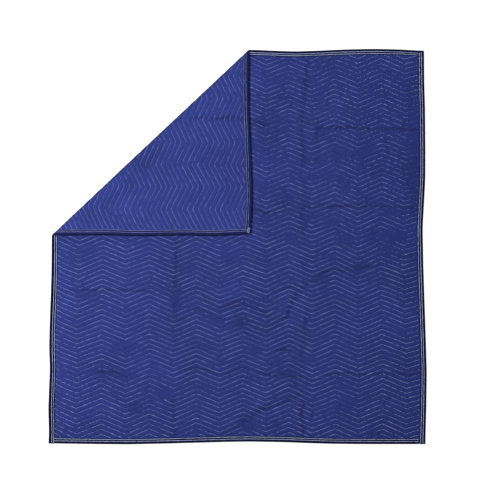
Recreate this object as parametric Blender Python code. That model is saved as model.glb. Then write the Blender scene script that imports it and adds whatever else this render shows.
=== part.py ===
"""Quilted moving blanket, 72 by 80 inches, laid flat with its top left corner folded over.

The blanket lies face up on a level surface. Its top left corner is turned over on a
45 degree fold, so that corner lies on the face and shows the back cloth. The quilting is a
chevron sewn through both cloths, one row an inch, and it stands out on both sides as low
ridges between the sewn lines. A woven tape wraps each of the four edges.

Metres, +Z up. +X runs to the blanket's right and +Y to its top. The origin is on the
surface, under the middle of the outline.

Flat coordinates, before the corner is folded: u from the left edge, v from the bottom
edge, w up from the underside.
"""

import math
from collections import namedtuple

import bmesh
import bpy
from mathutils import Matrix, Vector

INCH = 0.0254

# Cut sizes
WIDTH = 72 * INCH
LENGTH = 80 * INCH
THICKNESS = 0.0061  # over the ridges, both padded cloths together
CLEARANCE = 0.0003  # between two pieces that lie on each other

# Quilting
ROW_PITCH = 1 * INCH
ZIGZAG_PERIOD = 9 * INCH
ZIGZAG_RISE = 2 * INCH
FIRST_TROUGH_U = 0.145
RIDGE_HEIGHT = 0.0016
QUILT_INSET = 0.034  # the ridges start here, just inside the tape
RIDGE_RUN_OUT = 0.012

# Edge tape
TAPE_WIDTH = 0.030  # on each side of the blanket
TAPE_THICKNESS = 0.0010
TAPE_TURN = 0.0018  # rounding where the tape turns over the edge
CLOTH_INSET = 0.0030  # the cloths end here, a little short of the tape's turn

# Folded corner
FOLD_LEG = 0.970  # the fold meets the left and top edges this far from the corner
LAYER_GAP = 0.0012  # between the face and the corner that lies on it
BEND_STEPS = 4

# Unevenness of the outline: how far the edge lies outside its straight line
SWAY_FULL = 0.06
SWAY_END = 0.40
Sway = namedtuple("Sway", "at out")

LEFT_SWAY = (  # at: v
    Sway(0.000, 0.0060),
    Sway(0.055, 0.0034),
    Sway(0.180, 0.0073),
    Sway(0.300, 0.0030),
    Sway(0.380, 0.0000),
    Sway(0.490, 0.0039),
    Sway(0.613, 0.0015),
    Sway(0.737, -0.0024),
    Sway(0.862, -0.0063),
    Sway(1.048, -0.0070),
    Sway(1.190, -0.0040),
    Sway(1.340, -0.0050),
    Sway(1.490, 0.0010),
    Sway(1.620, -0.0010),
    Sway(1.730, -0.0030),
    Sway(1.850, 0.0010),
    Sway(1.950, -0.0030),
    Sway(2.032, -0.0080),
)
RIGHT_SWAY = (  # at: v
    Sway(0.000, 0.0012),
    Sway(0.055, 0.0023),
    Sway(0.180, 0.0060),
    Sway(0.365, 0.0089),
    Sway(0.551, 0.0042),
    Sway(0.737, -0.0014),
    Sway(0.924, -0.0066),
    Sway(1.110, -0.0093),
    Sway(1.234, -0.0024),
    Sway(1.358, 0.0042),
    Sway(1.483, 0.0052),
    Sway(1.731, 0.0041),
    Sway(1.855, 0.0007),
    Sway(2.032, -0.0003),
)
BOTTOM_SWAY = (  # at: u
    Sway(0.0000, 0.0030),
    Sway(0.0390, 0.0033),
    Sway(0.2150, 0.0064),
    Sway(0.3910, 0.0080),
    Sway(0.5660, 0.0041),
    Sway(0.7420, -0.0008),
    Sway(0.8700, -0.0044),
    Sway(0.9770, -0.0063),
    Sway(1.1520, -0.0029),
    Sway(1.2700, 0.0018),
    Sway(1.3870, 0.0054),
    Sway(1.5630, 0.0069),
    Sway(1.7970, 0.0069),
    Sway(1.8288, 0.0058),
)
TOP_SWAY = (  # at: u
    Sway(0.0000, 0.0070),
    Sway(0.0600, 0.0120),
    Sway(0.1600, 0.0160),
    Sway(0.2350, 0.0170),
    Sway(0.3900, 0.0120),
    Sway(0.5200, 0.0070),
    Sway(0.6500, 0.0040),
    Sway(0.7800, 0.0050),
    Sway(0.8820, 0.0060),
    Sway(1.0000, 0.0015),
    Sway(1.0940, -0.0031),
    Sway(1.2110, -0.0072),
    Sway(1.3280, -0.0026),
    Sway(1.4450, 0.0031),
    Sway(1.5920, 0.0069),
    Sway(1.7380, 0.0031),
    Sway(1.8288, -0.0046),
)

FACE_COLOUR = (0.036, 0.053, 0.238, 1.0)
BACK_COLOUR = (0.041, 0.060, 0.275, 1.0)
TAPE_COLOUR = (0.004, 0.004, 0.010, 1.0)

BEND_CENTRE = THICKNESS + LAYER_GAP / 2
BEND_RADIUS = BEND_CENTRE - THICKNESS / 2
BEND_LENGTH = math.pi * BEND_RADIUS
BEND_START = -BEND_LENGTH / 2
SAME_PLACE = 0.00005


def sway_at(table, at):
    """How far the edge lies outside its straight line, straight between two rows."""
    for before, after in zip(table, table[1:]):
        if at <= after.at:
            share = (at - before.at) / (after.at - before.at)
            return before.out + share * (after.out - before.out)
    return table[-1].out


def sway_share(inset):
    """Share of an edge's sway that reaches this far in from it."""
    along = (inset - SWAY_FULL) / (SWAY_END - SWAY_FULL)
    along = min(max(along, 0.0), 1.0)
    return (1 + math.cos(math.pi * along)) / 2


def swayed(point):
    """The flat point, moved with the uneven outline."""
    u, v, w = point
    left = sway_at(LEFT_SWAY, v) * sway_share(u)
    right = sway_at(RIGHT_SWAY, v) * sway_share(WIDTH - u)
    bottom = sway_at(BOTTOM_SWAY, u) * sway_share(v)
    top = sway_at(TOP_SWAY, u) * sway_share(LENGTH - v)
    return Vector((u - left + right, v - bottom + top, w))


def beyond_fold(u, v):
    """Distance past the fold line, towards the corner that is turned over."""
    return (FOLD_LEG - u - (LENGTH - v)) / math.sqrt(2)


def folded(point):
    """Where a flat point lies once the corner is turned over."""
    u, v, w = point
    past = beyond_fold(u, v)
    if past <= BEND_START:
        return Vector((u, v, w))
    if past < BEND_START + BEND_LENGTH:
        turn = (past - BEND_START) / BEND_RADIUS
        radius = BEND_CENTRE - w
        new_past = BEND_START + radius * math.sin(turn)
        height = BEND_CENTRE - radius * math.cos(turn)
    else:
        new_past = 2 * BEND_START + BEND_LENGTH - past
        height = 2 * BEND_CENTRE - w
    shift = (new_past - past) / math.sqrt(2)
    return Vector((u - shift, v + shift, height))


def zigzag(u):
    """Rise of a sewn row at u, from 0 at a trough to its full rise at a peak."""
    turn = ((u - FIRST_TROUGH_U) / ZIGZAG_PERIOD) % 1
    return ZIGZAG_RISE * 2 * min(turn, 1 - turn)


def quilt_columns():
    """u of each grid line: the zigzag's turns, and two near each side."""
    half = ZIGZAG_PERIOD / 2
    inner = QUILT_INSET + RIDGE_RUN_OUT
    turns = [FIRST_TROUGH_U + half * step for step in range(-2, 20)]
    turns = [u for u in turns if inner < u < WIDTH - inner]
    return [QUILT_INSET, inner] + turns + [WIDTH - inner, WIDTH - QUILT_INSET]


def outline(inset):
    """Corner and sway points of a rectangle this far in from the edges, anticlockwise."""
    right_u = WIDTH - inset
    top_v = LENGTH - inset
    points = [(inset, inset)]
    points += [(row.at, inset) for row in BOTTOM_SWAY if inset < row.at < right_u]
    points += [(right_u, inset)]
    points += [(right_u, row.at) for row in RIGHT_SWAY if inset < row.at < top_v]
    points += [(right_u, top_v)]
    points += [(row.at, top_v) for row in reversed(TOP_SWAY) if inset < row.at < right_u]
    points += [(inset, top_v)]
    points += [(inset, row.at) for row in reversed(LEFT_SWAY) if inset < row.at < top_v]
    return points


def loop_at(bm, points, height):
    """A closed ring of edges at this height."""
    verts = [bm.verts.new((u, v, height)) for u, v in points]
    return [bm.edges.new(pair) for pair in zip(verts, verts[1:] + verts[:1])]


def quilted_surface(bm, ridge, sewn, level):
    """The ridged field inside the tape, its rim at the given level."""
    columns = quilt_columns()
    first_row = -math.ceil(ZIGZAG_RISE / (ROW_PITCH / 2))
    rows = math.ceil(LENGTH / (ROW_PITCH / 2)) - first_row
    bmesh.ops.create_grid(bm, x_segments=len(columns) - 1, y_segments=rows, size=1)
    for vert in bm.verts:
        column = round((vert.co.x + 1) / 2 * (len(columns) - 1))
        row = round((vert.co.y + 1) / 2 * rows) + first_row
        u = columns[column]
        vert.co = (u, row * ROW_PITCH / 2 + zigzag(u), sewn if row % 2 == 0 else ridge)
    for edge_v, outward in ((QUILT_INSET, -1), (LENGTH - QUILT_INSET, 1)):
        bmesh.ops.bisect_plane(
            bm,
            geom=bm.verts[:] + bm.edges[:] + bm.faces[:],
            dist=0.0008,
            plane_co=(0, edge_v, 0),
            plane_no=(0, outward, 0),
            clear_outer=True,
        )
        for vert in bm.verts:
            if abs(vert.co.y - edge_v) < 0.0009:
                vert.co.y = edge_v
    rim = [edge for edge in bm.edges if edge.is_boundary]
    for vert in {vert for edge in rim for vert in edge.verts}:
        vert.co.z = level
    return rim


def fold_mesh(bm):
    """Cuts the flat mesh along the bend, then turns the corner over."""
    bmesh.ops.triangulate(bm, faces=bm.faces[:])
    across = Vector((-1, 1, 0)).normalized()
    for step in range(BEND_STEPS + 1):
        past = BEND_START + BEND_LENGTH * step / BEND_STEPS
        on_edge = (0, LENGTH - FOLD_LEG + past * math.sqrt(2), 0)
        bmesh.ops.bisect_plane(
            bm,
            geom=bm.verts[:] + bm.edges[:] + bm.faces[:],
            dist=SAME_PLACE,
            plane_co=on_edge,
            plane_no=across,
        )
    bmesh.ops.triangulate(bm, faces=bm.faces[:])
    for vert in bm.verts:
        vert.co = folded(vert.co)
    bmesh.ops.recalc_face_normals(bm, faces=bm.faces[:])
    if bm.calc_volume(signed=True) < 0:
        bmesh.ops.reverse_faces(bm, faces=bm.faces[:])


def material(name, colour, roughness):
    made = bpy.data.materials.new(name)
    made.use_nodes = True
    shader = made.node_tree.nodes["Principled BSDF"]
    shader.inputs["Base Color"].default_value = colour
    shader.inputs["Roughness"].default_value = roughness
    shader.inputs["Metallic"].default_value = 0.0
    return made


def add_object(name, bm, surface, collection):
    mesh = bpy.data.meshes.new(name)
    bm.to_mesh(mesh)
    bm.free()
    mesh.materials.append(surface)
    made = bpy.data.objects.new(name, mesh)
    collection.objects.link(made)
    return made


def make_cloth(name, ridge, inner, surface, collection):
    """One padded cloth: ridged on its outer side, plain where it meets the other cloth."""
    outward = 1 if ridge > inner else -1
    sewn = ridge - outward * RIDGE_HEIGHT
    level = ridge - outward * (TAPE_THICKNESS + CLEARANCE)
    bm = bmesh.new()
    rim = quilted_surface(bm, ridge, sewn, level)
    edge_points = outline(CLOTH_INSET)
    outer = loop_at(bm, edge_points, level)
    wall = bmesh.ops.extrude_edge_only(bm, edges=outer)["geom"]
    low_verts = [item for item in wall if isinstance(item, bmesh.types.BMVert)]
    for vert in low_verts:
        vert.co.z = inner
    low = [item for item in wall if isinstance(item, bmesh.types.BMEdge)]
    low = [edge for edge in low if all(vert in low_verts for vert in edge.verts)]
    for vert in bm.verts:
        vert.co = swayed(vert.co)
    bmesh.ops.triangle_fill(bm, use_beauty=True, edges=rim + outer, normal=(0, 0, 1))
    bmesh.ops.triangle_fill(bm, use_beauty=True, edges=low, normal=(0, 0, 1))
    fold_mesh(bm)
    return add_object(name, bm, surface, collection)


def tape_section():
    """Inset from the edge and height, round the tape's U section."""
    top = THICKNESS
    hollow = TAPE_THICKNESS + CLEARANCE
    return (
        (TAPE_WIDTH, 0.0),
        (TAPE_TURN, 0.0),
        (0.0, TAPE_TURN),
        (0.0, top - TAPE_TURN),
        (TAPE_TURN, top),
        (TAPE_WIDTH, top),
        (TAPE_WIDTH, top - TAPE_THICKNESS),
        (hollow, top - TAPE_THICKNESS),
        (hollow, TAPE_THICKNESS),
        (TAPE_WIDTH, TAPE_THICKNESS),
    )


def make_tape(name, place, stations, surface, collection):
    """One edge's tape, drawn along its stations. place(along, inset) gives (u, v)."""
    bm = bmesh.new()
    section = tape_section()
    start = [bm.verts.new((*place(stations[0], inset), height)) for inset, height in section]
    end_face = bm.faces.new(start)
    for along in stations[1:]:
        grown = bmesh.ops.extrude_face_region(bm, geom=[end_face, *end_face.edges])
        verts = [item for item in grown["geom"] if isinstance(item, bmesh.types.BMVert)]
        for vert in verts:
            inset = inset_of(place, vert.co)
            vert.co = (*place(along, inset), vert.co.z)
        end_face = next(item for item in grown["geom"] if isinstance(item, bmesh.types.BMFace))
    for vert in bm.verts:
        vert.co = swayed(vert.co)
    fold_mesh(bm)
    return add_object(name, bm, surface, collection)


def inset_of(place, point):
    """Inset of a flat point from the edge that place draws."""
    origin = Vector(place(0.0, 0.0))
    inward = Vector(place(0.0, 1.0)) - origin
    return (Vector(point[:2]) - origin).dot(inward)


def stations_of(table, start, end):
    return [start] + [row.at for row in table if start < row.at < end] + [end]


for old in list(bpy.data.objects):
    bpy.data.objects.remove(old, do_unlink=True)

blanket = bpy.data.collections.new("moving_blanket")
bpy.context.scene.collection.children.link(blanket)

face_cloth = material("face_cloth", FACE_COLOUR, 0.85)
back_cloth = material("back_cloth", BACK_COLOUR, 0.85)
edge_tape = material("edge_tape", TAPE_COLOUR, 0.80)

middle = THICKNESS / 2
butt = TAPE_WIDTH + CLEARANCE

pieces = [
    make_cloth("face_panel", THICKNESS, middle + CLEARANCE / 2, face_cloth, blanket),
    make_cloth("back_panel", 0.0, middle - CLEARANCE / 2, back_cloth, blanket),
    make_tape(
        "binding_left",
        lambda along, inset: (inset, along),
        stations_of(LEFT_SWAY, 0.0, LENGTH),
        edge_tape,
        blanket,
    ),
    make_tape(
        "binding_right",
        lambda along, inset: (WIDTH - inset, along),
        stations_of(RIGHT_SWAY, 0.0, LENGTH),
        edge_tape,
        blanket,
    ),
    make_tape(
        "binding_bottom",
        lambda along, inset: (along, inset),
        stations_of(BOTTOM_SWAY, butt, WIDTH - butt),
        edge_tape,
        blanket,
    ),
    make_tape(
        "binding_top",
        lambda along, inset: (along, LENGTH - inset),
        stations_of(TOP_SWAY, butt, WIDTH - butt),
        edge_tape,
        blanket,
    ),
]

points = [vert.co for piece in pieces for vert in piece.data.vertices]
mid_u = (min(point.x for point in points) + max(point.x for point in points)) / 2
mid_v = (min(point.y for point in points) + max(point.y for point in points)) / 2
for piece in pieces:
    piece.data.transform(Matrix.Translation((-mid_u, -mid_v, 0)))
    piece.data.update()
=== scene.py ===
"""Looks for the moving blanket: quilted cloths, edge tapes, sewing thread, floor, light and camera.

Flat coordinates, before the corner is folded: u from the left edge, v from the bottom edge,
w up from the underside. settle() takes them to the row frame.
"""

import math
from collections import namedtuple

import bmesh
import bpy
import numpy as np
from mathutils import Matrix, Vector


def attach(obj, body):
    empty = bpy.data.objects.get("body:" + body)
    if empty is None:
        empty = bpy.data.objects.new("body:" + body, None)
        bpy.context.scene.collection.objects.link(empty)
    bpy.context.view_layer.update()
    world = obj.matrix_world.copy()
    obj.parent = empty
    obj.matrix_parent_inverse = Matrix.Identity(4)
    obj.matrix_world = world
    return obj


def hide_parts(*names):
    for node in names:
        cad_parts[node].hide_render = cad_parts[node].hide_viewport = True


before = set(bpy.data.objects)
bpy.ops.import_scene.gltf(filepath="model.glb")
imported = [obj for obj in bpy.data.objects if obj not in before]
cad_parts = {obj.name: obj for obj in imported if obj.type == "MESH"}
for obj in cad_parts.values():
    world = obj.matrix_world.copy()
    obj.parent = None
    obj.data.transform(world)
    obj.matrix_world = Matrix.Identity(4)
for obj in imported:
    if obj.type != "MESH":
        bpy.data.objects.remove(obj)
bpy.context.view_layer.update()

INCH = 0.0254

# Cut sizes, as in the solids
WIDTH = 72 * INCH
LENGTH = 80 * INCH
THICKNESS = 0.0061  # over the ridges, both padded cloths together
CLEARANCE = 0.0003  # between two pieces that lie on each other

# Quilting
ROW_PITCH = 1 * INCH
ZIGZAG_PERIOD = 9 * INCH
ZIGZAG_RISE = 2 * INCH
FIRST_TROUGH_U = 0.145
FIRST_ROW = -math.ceil(ZIGZAG_RISE / ROW_PITCH)
LAST_ROW = math.ceil(LENGTH / ROW_PITCH)
RIDGE_HEIGHT = 0.0017
RIDGE_FULLNESS = 2.4  # higher is a flatter top with steeper sides
RIDGE_SHARE, RIDGE_VARIATION = 0.90, 0.12  # of its height, on average and from place to place
QUILT_INSET = 0.032  # the ridges start here, just inside the tape
RIDGE_RUN_OUT = 0.012

# Edge tape
TAPE_WIDTH = 0.030  # on each side, in the solids
TAPE_THICKNESS = 0.0010
BACK_WIDTH = 0.0270  # what shows of each tape on the reverse side
CLOTH_INSET = 0.0030  # the cloths end here, a little short of the tape's turn

# Folded corner
FOLD_LEG = 0.970  # the fold meets the left and top edges this far from the corner
LAYER_GAP = 0.0012  # between the face and the corner that lies on it
BEND_CENTRE = THICKNESS + LAYER_GAP / 2
BEND_RADIUS = BEND_CENTRE - THICKNESS / 2
BEND_LENGTH = math.pi * BEND_RADIUS
BEND_START = -BEND_LENGTH / 2
BEND_STEPS = 8

# Unevenness of the outline: how far the edge lies outside its straight line
SWAY_FULL = 0.06  # up to this far in, the cloth moves as far as the edge does
SWAY_END = 0.40  # from here in, it doesn't move
SWAY_SOFTEN = 0.03  # width over which the corners of the tables are rounded
SWAY_SAMPLES = 600
BELL_REACH = 2.5  # in widths of the bell that rounds them
Sway = namedtuple("Sway", "at out")
LEFT_SWAY = (  # at: v
    Sway(0.000, 0.0060), Sway(0.055, 0.0034), Sway(0.180, 0.0073), Sway(0.300, 0.0030),
    Sway(0.380, 0.0), Sway(0.490, 0.0039), Sway(0.613, 0.0015), Sway(0.737, -0.0024),
    Sway(0.862, -0.0063), Sway(1.048, -0.0070), Sway(1.190, -0.0075), Sway(1.340, -0.0095),
    Sway(1.490, -0.0040), Sway(1.620, -0.0062), Sway(1.730, -0.0082), Sway(1.850, -0.0042),
    Sway(1.950, -0.0095), Sway(2.032, -0.0140),
)
RIGHT_SWAY = (  # at: v
    Sway(0.000, 0.0012), Sway(0.055, 0.0023), Sway(0.180, 0.0060), Sway(0.365, 0.0089),
    Sway(0.551, 0.0042), Sway(0.737, -0.0014), Sway(0.924, -0.0066), Sway(1.110, -0.0093),
    Sway(1.234, -0.0024), Sway(1.358, 0.0042), Sway(1.483, 0.0052), Sway(1.731, 0.0041),
    Sway(1.855, 0.0007), Sway(2.032, -0.0003),
)
BOTTOM_SWAY = (  # at: u
    Sway(0.0000, 0.0030), Sway(0.0390, 0.0033), Sway(0.2150, 0.0064), Sway(0.3910, 0.0080),
    Sway(0.5660, 0.0041), Sway(0.7420, -0.0008), Sway(0.8700, -0.0044), Sway(0.9770, -0.0063),
    Sway(1.1520, -0.0029), Sway(1.2700, 0.0018), Sway(1.3870, 0.0054), Sway(1.5630, 0.0069),
    Sway(1.7970, 0.0069), Sway(1.8288, 0.0058),
)
TOP_SWAY = (  # at: u
    Sway(0.0, 0.0070), Sway(0.0600, 0.0120), Sway(0.1600, 0.0160), Sway(0.2350, 0.0170),
    Sway(0.3900, 0.0120), Sway(0.5200, 0.0070), Sway(0.6500, 0.0015), Sway(0.7800, 0.0000),
    Sway(0.8820, 0.0005), Sway(1.0000, 0.0015), Sway(1.0940, -0.0031), Sway(1.2110, -0.0072),
    Sway(1.3280, -0.0026), Sway(1.4450, 0.0031), Sway(1.5920, 0.0069), Sway(1.7380, 0.0031),
    Sway(1.8288, -0.0046),
)

# How far the zigzag's turns lie to the right of their even places
Drift = namedtuple("Drift", "u right")
PATTERN_DRIFT = (
    Drift(0.000, -0.0100), Drift(0.145, -0.0107), Drift(0.260, -0.0063), Drift(0.370, -0.0044),
    Drift(0.600, -0.0015), Drift(0.830, -0.0034), Drift(1.060, -0.0063), Drift(1.290, -0.0107),
    Drift(1.400, -0.0127), Drift(1.8288, -0.0135),
)

# The row frame's origin is under the middle of the lying blanket
LEFT_REACH = max(sway.out for sway in LEFT_SWAY)
RIGHT_REACH = max(sway.out for sway in RIGHT_SWAY)
BOTTOM_REACH = max(sway.out for sway in BOTTOM_SWAY)
TOP_REACH = max(sway.out for sway in TOP_SWAY if sway.at > FOLD_LEG)
MIDDLE_U = (WIDTH + RIGHT_REACH - LEFT_REACH) / 2
MIDDLE_V = (LENGTH + TOP_REACH - BOTTOM_REACH) / 2

# Packing creases and wrinkles in the blanket as it lies. The cloth is drawn up by rise on the left
# hand of the way the points run and dips as much on the right. Points are in metres from the left
# edge and down from the top edge, shade is the painted shade along the crease.
Crease = namedtuple("Crease", "rise width shade points")
# a spot's shade is painted shade as well
Spot = namedtuple("Spot", "height radius shade u down")
FACE_CREASES = (
    # crossing the right part above the middle
    Crease(0.0018, 0.0065, 0.75, (
        (1.299, 0.408), (1.441, 0.403), (1.572, 0.411), (1.685, 0.411), (1.802, 0.416),
    )),
    Crease(0.0010, 0.0060, 0.45, ((1.226, 0.375), (1.279, 0.377), (1.333, 0.369))),
    Crease(0.0045, 0.0095, 1.00, ((0.977, 0.364), (1.016, 0.380), (1.045, 0.393))),
    Crease(0.0012, 0.0050, 0.45, (
        (1.006, 0.232), (1.065, 0.245), (1.109, 0.240), (1.162, 0.245),
        (1.201, 0.258), (1.240, 0.279), (1.299, 0.310),
    )),
    Crease(0.0008, 0.0050, 0.30, ((0.977, 0.268), (1.021, 0.274))),
    # level with the folded corner's tip
    Crease(0.0017, 0.0066, 0.98, ((1.358, 0.817), (1.441, 0.809), (1.528, 0.812))),
    Crease(0.0012, 0.0072, 0.60, ((1.528, 0.812), (1.660, 0.812), (1.797, 0.820))),
    Crease(0.0014, 0.0060, 0.83, ((1.113, 0.791), (1.152, 0.796), (1.182, 0.791))),
    Crease(0.0017, 0.0060, 0.83, ((0.996, 0.830), (1.045, 0.853), (1.084, 0.848), (1.143, 0.820))),
    Crease(0.0012, 0.0060, 0.60, ((1.128, 0.853), (1.177, 0.832))),
    Crease(0.0010, 0.0077, 0.45, ((1.235, 0.822), (1.299, 0.807), (1.338, 0.807))),
    # running down from the right edge
    Crease(0.0016, 0.0080, 0.55, ((1.699, 1.076), (1.748, 1.065), (1.807, 1.037))),
    Crease(0.0010, 0.0080, 0.35, ((1.494, 1.133), (1.563, 1.122), (1.641, 1.099))),
    Crease(0.0012, 0.0120, 0.36, ((1.328, 1.158), (1.387, 1.148), (1.485, 1.133))),
    Crease(0.0012, 0.0150, 0.26, ((1.235, 1.226), (1.309, 1.189), (1.348, 1.158))),
    Crease(0.0018, 0.0130, 0.46, ((1.156, 1.381), (1.167, 1.350), (1.182, 1.308), (1.197, 1.277))),
    Crease(0.0006, 0.0090, 0.56, ((1.165, 1.352), (1.182, 1.308))),
    Crease(0.0010, 0.0120, 0.26, ((1.065, 1.451), (1.094, 1.435), (1.123, 1.414), (1.152, 1.391))),
    Crease(0.0008, 0.0120, 0.26, ((1.201, 1.267), (1.221, 1.246), (1.245, 1.222))),
    # crossing below the folded corner
    # the first two are mostly a painted shadow of the folded corner's edge, with a slight rise
    Crease(0.0008, 0.0150, 0.62, ((0.055, 0.990), (0.190, 0.992), (0.300, 0.988))),
    Crease(0.0004, 0.0130, 0.36, ((0.300, 0.988), (0.600, 0.990), (0.940, 0.988))),
    Crease(0.0014, 0.0060, 0.50, ((0.034, 1.252), (0.122, 1.246), (0.220, 1.246))),
    Crease(0.0018, 0.0060, 0.75, ((0.205, 1.246), (0.303, 1.246), (0.391, 1.252), (0.498, 1.252))),
    Crease(0.0012, 0.0060, 0.45, ((0.664, 1.241), (0.703, 1.236), (0.742, 1.244))),
    Crease(0.0014, 0.0055, 0.50, ((0.713, 1.246), (0.747, 1.272), (0.781, 1.296))),
    Crease(0.0012, 0.0055, 0.55, ((0.957, 1.241), (0.996, 1.246), (1.040, 1.254))),
    Crease(0.0016, 0.0060, 0.65, ((1.074, 1.262), (1.118, 1.239), (1.177, 1.231))),
    Crease(0.0006, 0.0070, 0.20, ((1.494, 1.283), (1.636, 1.296), (1.802, 1.303))),
    # crumple right of the middle
    Crease(0.0016, 0.0160, 0.42, (
        (0.825, 1.347), (0.855, 1.334), (0.889, 1.316), (0.918, 1.306), (0.943, 1.306),
    )),
    Crease(0.0022, 0.0069, 0.70, ((0.928, 1.303), (0.977, 1.334), (1.026, 1.358), (1.069, 1.378))),
    Crease(0.0022, 0.0063, 0.70, ((0.713, 1.345), (0.757, 1.365), (0.801, 1.386), (0.845, 1.396))),
    Crease(0.0019, 0.0075, 0.56, ((0.615, 1.415), (0.674, 1.389))),
    Crease(0.0019, 0.0069, 0.70, ((1.109, 1.554), (1.148, 1.549), (1.192, 1.559))),
    # crossing near the bottom
    Crease(0.0016, 0.0077, 0.63, ((0.230, 1.665), (0.283, 1.668), (0.332, 1.676), (0.381, 1.696))),
    Crease(0.0016, 0.0066, 0.57, (
        (0.610, 1.678), (0.650, 1.655), (0.689, 1.647), (0.733, 1.655), (0.776, 1.660),
    )),
    Crease(0.0011, 0.0077, 0.46, (
        (0.781, 1.665), (0.840, 1.684), (0.889, 1.665), (0.933, 1.650), (0.967, 1.650),
    )),
    Crease(0.0016, 0.0072, 0.57, ((0.996, 1.655), (1.035, 1.671), (1.074, 1.689))),
    Crease(0.0016, 0.0077, 0.57, ((1.133, 1.678), (1.182, 1.691), (1.231, 1.694))),
    Crease(0.0014, 0.0066, 0.57, ((1.338, 1.684), (1.426, 1.676), (1.485, 1.676))),
    Crease(0.0014, 0.0072, 0.52, ((1.504, 1.681), (1.611, 1.678), (1.709, 1.681), (1.802, 1.681))),
    # running up to the right near the bottom
    Crease(0.0018, 0.0115, 0.48, (
        (1.035, 1.862), (1.069, 1.849), (1.099, 1.839), (1.123, 1.826),
        (1.148, 1.816), (1.182, 1.803), (1.206, 1.790), (1.231, 1.769),
    )),
    Crease(0.0018, 0.0170, 0.36, (
        (0.860, 1.991), (0.899, 1.960), (0.933, 1.929),
        (0.967, 1.898), (1.011, 1.875), (1.050, 1.852),
    )),
    # upright ones
    Crease(0.0012, 0.0110, 0.67, ((1.240, 0.253), (1.250, 0.139), (1.248, 0.041))),
    Crease(0.0015, 0.0125, 0.49, ((1.235, 0.605), (1.231, 0.501), (1.228, 0.419), (1.231, 0.320))),
    Crease(0.0008, 0.0080, 0.42, ((1.296, 0.532), (1.299, 0.419))),
    Crease(0.0009, 0.0125, 0.44, ((1.231, 0.946), (1.231, 0.791), (1.243, 0.688))),
    Crease(0.0006, 0.0125, 0.27, ((1.240, 1.226), (1.240, 0.967))),
    Crease(0.0012, 0.0110, 0.74, ((1.235, 1.536), (1.248, 1.345))),
    Crease(0.0008, 0.0125, 0.44, ((1.231, 1.645), (1.226, 1.531))),
    Crease(0.0014, 0.0125, 0.74, ((1.235, 2.007), (1.228, 1.919), (1.231, 1.810))),
    Crease(0.0009, 0.0094, 0.53, ((1.275, 1.909), (1.275, 1.816))),
    Crease(0.0008, 0.0094, 0.53, ((1.343, 0.320), (1.358, 0.274), (1.362, 0.222))),
    Crease(0.0008, 0.0094, 0.53, ((1.646, 0.543), (1.641, 0.460))),
    Crease(0.0012, 0.0110, 0.46, ((0.610, 1.226), (0.613, 0.988))),
    Crease(0.0010, 0.0110, 0.28, ((0.610, 1.557), (0.610, 1.319))),
    Crease(0.0009, 0.0110, 0.53, ((0.601, 2.012), (0.601, 1.805))),
)
FACE_SPOTS = (
    # hollows, with painted shade in them, and broad places painted darker
    Spot(-0.0010, 0.022, 0.35, 1.309, 0.574), Spot(-0.0012, 0.028, 0.40, 0.913, 1.329),
    Spot(-0.0010, 0.034, 0.40, 0.947, 1.417), Spot(-0.0008, 0.024, 0.35, 0.357, 1.691),
    Spot(-0.0008, 0.026, 0.35, 1.172, 1.686), Spot(-0.0006, 0.018, 0.30, 0.615, 1.133),
    Spot(-0.0008, 0.030, 0.30, 0.640, 1.402), Spot(-0.0006, 0.040, 0.25, 0.635, 1.252),
    Spot(-0.0008, 0.040, 0.28, 0.952, 1.950), Spot(-0.0006, 0.026, 0.25, 1.065, 1.862),
    Spot(-0.0006, 0.016, 0.30, 0.991, 1.246), Spot(-0.0006, 0.026, 0.22, 1.768, 0.651),
    Spot(-0.0006, 0.030, 0.20, 1.778, 0.496), Spot(-0.0005, 0.030, 0.20, 0.059, 1.081),
    Spot(-0.0005, 0.030, 0.20, 0.098, 1.841), Spot(-0.0005, 0.030, 0.20, 0.415, 1.857),
    Spot(-0.0005, 0.024, 0.22, 1.382, 1.453), Spot(-0.0005, 0.024, 0.22, 0.659, 1.841),
    Spot(-0.0005, 0.030, 0.20, 0.869, 1.107), Spot(-0.0005, 0.026, 0.20, 1.309, 0.098),
    Spot(0.0000, 0.220, 0.14, 1.660, 1.880), Spot(0.0000, 0.160, 0.10, 1.560, 0.880),
    # raised places
    Spot(0.0030, 0.060, 0.00, 1.123, 1.764), Spot(0.0024, 0.060, 0.00, 0.840, 1.733),
    Spot(0.0020, 0.060, 0.00, 1.465, 1.101), Spot(0.0020, 0.060, 0.00, 1.685, 1.039),
    Spot(0.0022, 0.050, 0.00, 1.001, 0.331), Spot(0.0020, 0.060, 0.00, 0.708, 1.205),
    Spot(0.0020, 0.050, 0.00, 1.133, 1.469), Spot(0.0016, 0.040, 0.00, 1.265, 0.470),
    Spot(0.0020, 0.060, 0.00, 0.332, 1.220), Spot(0.0016, 0.060, 0.00, 1.441, 0.377),
    Spot(0.0016, 0.060, 0.00, 1.636, 0.377), Spot(0.0018, 0.060, 0.00, 0.659, 1.598),
    Spot(0.0020, 0.080, 0.00, 1.367, 0.263), Spot(0.0020, 0.090, 0.00, 0.293, 1.453),
    Spot(0.0020, 0.090, 0.00, 1.563, 1.453), Spot(0.0016, 0.090, 0.00, 0.391, 1.867),
    Spot(0.0016, 0.090, 0.00, 1.563, 1.816),
)
FLAP_CREASES = (
    Crease(0.0036, 0.0095, 0.60, ((0.703, 0.354), (0.781, 0.360), (0.860, 0.358), (0.957, 0.360))),
    Crease(0.0010, 0.0070, 0.25, ((0.723, 0.367), (0.703, 0.284))),
    Crease(0.0012, 0.0080, 0.30, ((0.664, 0.662), (0.684, 0.615))),
    Crease(0.0008, 0.0100, 0.20, ((0.728, 0.781), (0.737, 0.688))),
    Crease(0.0008, 0.0100, 0.20, ((0.493, 0.574), (0.523, 0.512))),
    # mostly painted shade: a broad dark band beside the fold
    Crease(0.0006, 0.0360, 0.36, ((0.180, 0.870), (0.270, 0.805), (0.400, 0.665), (0.520, 0.530))),
)

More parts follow.
